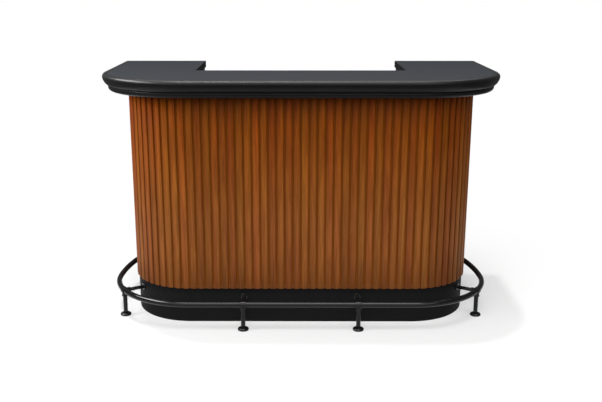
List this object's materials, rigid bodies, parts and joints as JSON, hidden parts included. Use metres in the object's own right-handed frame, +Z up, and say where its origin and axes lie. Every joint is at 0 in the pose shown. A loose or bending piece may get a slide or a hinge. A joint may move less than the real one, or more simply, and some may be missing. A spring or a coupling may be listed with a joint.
{
  "type": "bar counter with shelves",
  "caption": "U-shaped bar counter with rounded front corners, upright wooden slats, a black plinth, a foot rail on posts and open shelves on the bartender's side.",
  "frame": {"origin": "on the floor under the middle of the worktop's outline, bottom centre of the bounding box", "axes": "+X to the guest's right along the counter, +Y from the guests towards the bartender, +Z up"},
  "size_m": [1.726, 0.854, 1.067],
  "materials": {
    "worktop_laminate": "charcoal satin laminate on board",
    "black_lacquer": "black satin lacquer",
    "slat_wood": "satin varnish, colour varies from slat to slat",
    "end_veneer": "satin veneer",
    "carcass_board": "matt veneer",
    "rail_enamel": "black satin enamel",
    "fixing_steel": "satin"
  },
  "bodies": {
    "root": {"center_base": "carcass_board", "center_divider": "carcass_board", "center_kick": "black_lacquer", "center_subtop": "black_lacquer", "countertop": "worktop_laminate", "foot_rail": "rail_enamel", "front_moulding": "black_lacquer", "front_panel": "carcass_board", "front_plinth": "black_lacquer", "front_slats": "slat_wood", "left_base": "carcass_board", "left_center_shelf_1": "carcass_board", "left_center_shelf_2": "carcass_board", "left_corner_moulding": "black_lacquer", "left_corner_panel": "carcass_board", "left_corner_plinth": "black_lacquer", "left_corner_post": "rail_enamel", "left_corner_slats": "slat_wood", "left_end_panel": "end_veneer", "left_end_plinth": "black_lacquer", "left_front_post": "rail_enamel", "left_partition": "carcass_board", "left_side_kick": "black_lacquer", "left_side_moulding": "black_lacquer", "left_side_panel": "carcass_board", "left_side_plinth": "black_lacquer", "left_side_slats": "slat_wood", "left_subtop": "black_lacquer", "left_wing_shelf_1": "carcass_board", "left_wing_shelf_2": "carcass_board", "post_feet": "rail_enamel", "rail_clamps": "rail_enamel", "rail_struts": "rail_enamel", "right_base": "carcass_board", "right_center_shelf_1": "carcass_board", "right_center_shelf_2": "carcass_board", "right_corner_moulding": "black_lacquer", "right_corner_panel": "carcass_board", "right_corner_plinth": "black_lacquer", "right_corner_post": "rail_enamel", "right_corner_slats": "slat_wood", "right_end_panel": "end_veneer", "right_end_plinth": "black_lacquer", "right_front_post": "rail_enamel", "right_partition": "carcass_board", "right_side_kick": "black_lacquer", "right_side_moulding": "black_lacquer", "right_side_panel": "carcass_board", "right_side_plinth": "black_lacquer", "right_side_slats": "slat_wood", "right_subtop": "black_lacquer", "right_wing_shelf_1": "carcass_board", "right_wing_shelf_2": "carcass_board", "shelf_pins": "fixing_steel", "soffit": "black_lacquer", "wall_roses": "rail_enamel", "worktop_screws": "fixing_steel"}
  },
  "joints": []
}
